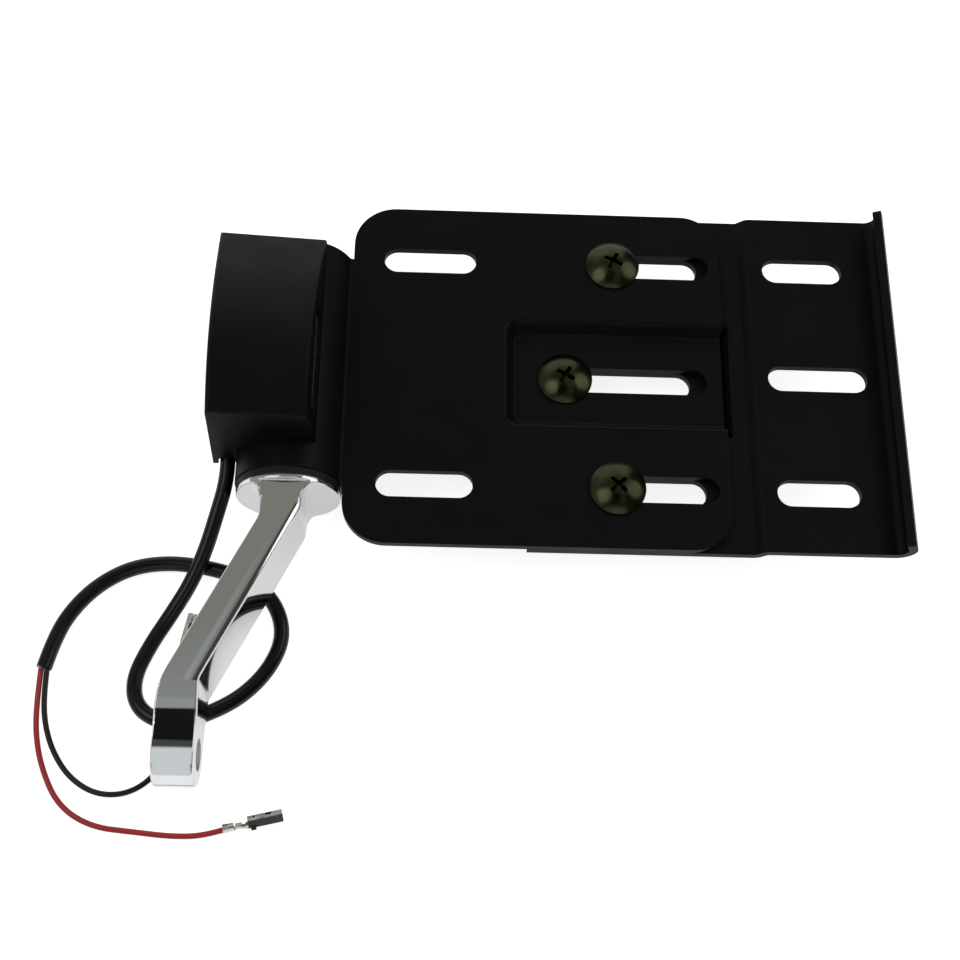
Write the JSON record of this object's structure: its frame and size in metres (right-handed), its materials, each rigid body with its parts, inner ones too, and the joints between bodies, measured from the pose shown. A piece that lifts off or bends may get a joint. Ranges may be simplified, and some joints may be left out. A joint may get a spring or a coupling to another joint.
{
  "type": "side mount licence plate holder",
  "caption": "Side mount number plate holder: slotted plate with sliding extension, barrel with plate lamp, swivel on a cranked arm with a cross bored end, wired lead.",
  "frame": {"origin": "middle of the holder's plan on the surface it lies on, the lead left out", "axes": "+X along the plates away from the barrel, +Y along the barrel away from the arm, +Z out of the plate's face"},
  "size_m": [0.2337, 0.1809, 0.0479],
  "materials": {
    "black_sheet": "satin black powder coat",
    "black_casting": "satin black powder coat on a casting",
    "chrome_casting": "polished chrome plating",
    "olive_zinc": "olive passivated zinc",
    "bright_zinc": "bright zinc plating",
    "black_plastic": "matt moulded plastic",
    "clear_lens": "clear moulded lens",
    "board_green": "solder mask",
    "led_white": "white chip package",
    "chip_black": "ceramic chip",
    "black_sheath": "glossy flexible sheath",
    "red_wire": "soft wire insulation",
    "black_wire": "soft wire insulation",
    "tin_plate": "tin plated strip"
  },
  "bodies": {
    "arm": {"arm": "chrome_casting", "friction_washer": "black_plastic", "pivot_washer": "bright_zinc", "pivot_spring_washer": "bright_zinc", "pivot_nut": "bright_zinc", "cable_sheath": "black_sheath", "red_wire": "red_wire", "black_wire": "black_wire", "red_terminal": "tin_plate", "black_terminal": "tin_plate"},
    "head": {"main_plate": "black_sheet", "barrel_cap": "black_plastic", "light_housing": "black_casting", "housing_screws": "bright_zinc", "lamp_lens": "clear_lens", "led_board": "board_green", "leds": "led_white", "board_resistors": "chip_black"},
    "extension": {"extension_plate": "black_sheet", "plate_screws": "olive_zinc", "flat_washers": "olive_zinc", "spring_washers": "olive_zinc", "plate_nuts": "olive_zinc"}
  },
  "joints": [
    {"name": "head_swivel", "type": "hinge", "parent": "arm", "child": "head", "pos_m": [-0.06972, -0.00222, 0.0147], "axis": [0, 1, 0], "range_deg": [-30, 30], "deforming": ["cable_sheath"]},
    {"name": "extension_slide", "type": "slide", "parent": "head", "child": "extension", "axis": [1, 0, 0], "range_m": [0, 0.024]}
  ]
}
